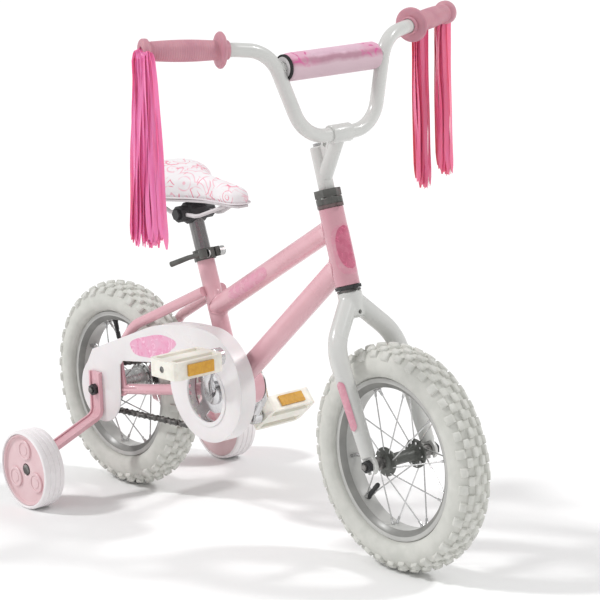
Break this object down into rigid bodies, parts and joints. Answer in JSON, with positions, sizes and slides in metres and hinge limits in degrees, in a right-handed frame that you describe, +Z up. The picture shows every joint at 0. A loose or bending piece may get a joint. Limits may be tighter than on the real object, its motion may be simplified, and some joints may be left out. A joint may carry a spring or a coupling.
{
  "type": "child bicycle",
  "caption": "Small child's bicycle with training wheels, chain guard, padded high-rise handlebar, grip streamers and cushioned saddle.",
  "frame": {"origin": "on the ground, midway between the two tyres' ground contacts, in the middle plane of the frame", "axes": "+X towards the front wheel, +Y to the rider's left, +Z up"},
  "size_m": [0.922, 0.5746, 0.7311],
  "materials": {
    "axle_plastic": "satin black",
    "black_plastic": "satin black",
    "chrome": "bright plating",
    "dark_steel": "dark oiled steel",
    "foam": "closed cell foam",
    "grip_rubber": "soft rubber",
    "guard_plastic": "moulded",
    "pad_fabric": "sewn cover",
    "pan_plastic": "moulded pan with wire rails",
    "pedal_plastic": "moulded",
    "pink_paint": "gloss paint",
    "reflector_amber": "prismatic reflector",
    "rim_white": "painted rim",
    "saddle_vinyl": "smooth vinyl over foam",
    "steel": "zinc plated",
    "streamer_film": "shiny film ribbon",
    "trainer_plastic": "moulded",
    "trainer_tread": "moulded tread ring",
    "tyre_rubber": "matt light grey rubber",
    "white_paint": "gloss paint"
  },
  "bodies": {
    "chassis": {"frame": "pink_paint", "cup_lower": "black_plastic", "cup_upper": "black_plastic", "bb_cup_left": "dark_steel", "bb_cup_right": "dark_steel", "brake_arm": "steel", "chain": "dark_steel", "chain_guard": "guard_plastic", "axle_rear": "dark_steel", "nut_rear_left": "black_plastic", "nut_rear_right": "black_plastic", "axle_washer": "dark_steel", "seat_collar": "black_plastic", "qr_bolt": "steel", "trainer_bracket_left": "pink_paint", "trainer_bracket_right": "pink_paint", "trainer_bolt_left": "dark_steel", "trainer_bolt_right": "dark_steel"},
    "steering": {"fork": "white_paint", "crown_race": "dark_steel", "headset_top": "black_plastic", "handlebar": "white_paint", "stem_bolt": "dark_steel", "grip_left": "grip_rubber", "grip_right": "grip_rubber", "pad_foam": "foam", "pad_cover": "pad_fabric", "streamer_left": "streamer_film", "streamer_right": "streamer_film", "axle_front": "dark_steel", "nut_front_left": "black_plastic", "nut_front_right": "black_plastic"},
    "front_wheel": {"tyre_front": "tyre_rubber", "rim_front": "rim_white", "hub_front": "dark_steel", "valve_front": "axle_plastic"},
    "rear_wheel": {"tyre_rear": "tyre_rubber", "rim_rear": "rim_white", "hub_rear": "steel", "valve_rear": "axle_plastic"},
    "rear_sprocket": {"sprocket": "dark_steel"},
    "crankset": {"crank": "chrome", "chainring": "chrome", "pedal_axle_left": "black_plastic", "pedal_axle_right": "black_plastic"},
    "pedal_body_right": {"pedal_right": "pedal_plastic", "reflector_right_front": "reflector_amber", "reflector_right_back": "reflector_amber"},
    "pedal_body_left": {"pedal_left": "pedal_plastic", "reflector_left_front": "reflector_amber", "reflector_left_back": "reflector_amber"},
    "seat": {"saddle_cushion": "saddle_vinyl", "saddle_pan": "pan_plastic", "saddle_clamp": "black_plastic", "seatpost": "chrome"},
    "collar_lever": {"qr_lever": "black_plastic"},
    "trainer_wheel_right": {"trainer_tyre_right": "trainer_tread", "trainer_hub_right": "trainer_plastic"},
    "trainer_wheel_left": {"trainer_tyre_left": "trainer_tread", "trainer_hub_left": "trainer_plastic"}
  },
  "joints": [
    {"name": "steering_turn", "type": "hinge", "parent": "chassis", "child": "steering", "pos_m": [0.21132, 0, 0.36841], "axis": [-0.2756, 0, 0.9613], "range_deg": [-60, 60]},
    {"name": "front_wheel_spin", "type": "hinge", "parent": "steering", "child": "front_wheel", "pos_m": [0.305, 0, 0.156], "axis": [0, 1, 0], "continuous": true},
    {"name": "rear_wheel_spin", "type": "hinge", "parent": "chassis", "child": "rear_wheel", "pos_m": [-0.305, 0, 0.156], "axis": [0, 1, 0], "continuous": true},
    {"name": "crank_spin", "type": "hinge", "parent": "chassis", "child": "crankset", "pos_m": [-0.04193, 0, 0.1925], "axis": [0, 1, 0], "continuous": true, "deforming": ["chain"]},
    {"name": "sprocket_spin", "type": "hinge", "parent": "chassis", "child": "rear_sprocket", "pos_m": [-0.305, 0, 0.156], "axis": [0, 1, 0], "continuous": true},
    {"name": "pedal_right_spin", "type": "hinge", "parent": "crankset", "child": "pedal_body_right", "pos_m": [0.02423, -0.084, 0.26344], "axis": [0, 1, 0], "continuous": true},
    {"name": "pedal_left_spin", "type": "hinge", "parent": "crankset", "child": "pedal_body_left", "pos_m": [-0.10808, 0.084, 0.12156], "axis": [0, 1, 0], "continuous": true},
    {"name": "seat_height", "type": "slide", "parent": "chassis", "child": "seat", "axis": [-0.309, 0, 0.9511], "range_m": [-0.02, 0.05]},
    {"name": "collar_lever_turn", "type": "hinge", "parent": "chassis", "child": "collar_lever", "pos_m": [-0.08189, -0.0177, 0.38508], "axis": [-0.309, 0, 0.9511], "range_deg": [0, 165]},
    {"name": "trainer_wheel_right_spin", "type": "hinge", "parent": "chassis", "child": "trainer_wheel_right", "pos_m": [-0.305, 0, 0.059], "axis": [0, 1, 0], "continuous": true},
    {"name": "trainer_wheel_left_spin", "type": "hinge", "parent": "chassis", "child": "trainer_wheel_left", "pos_m": [-0.305, 0, 0.059], "axis": [0, 1, 0], "continuous": true}
  ],
  "couplings": [
    {"joint": "sprocket_spin", "follows": "crank_spin", "ratio": 1.75}
  ]
}
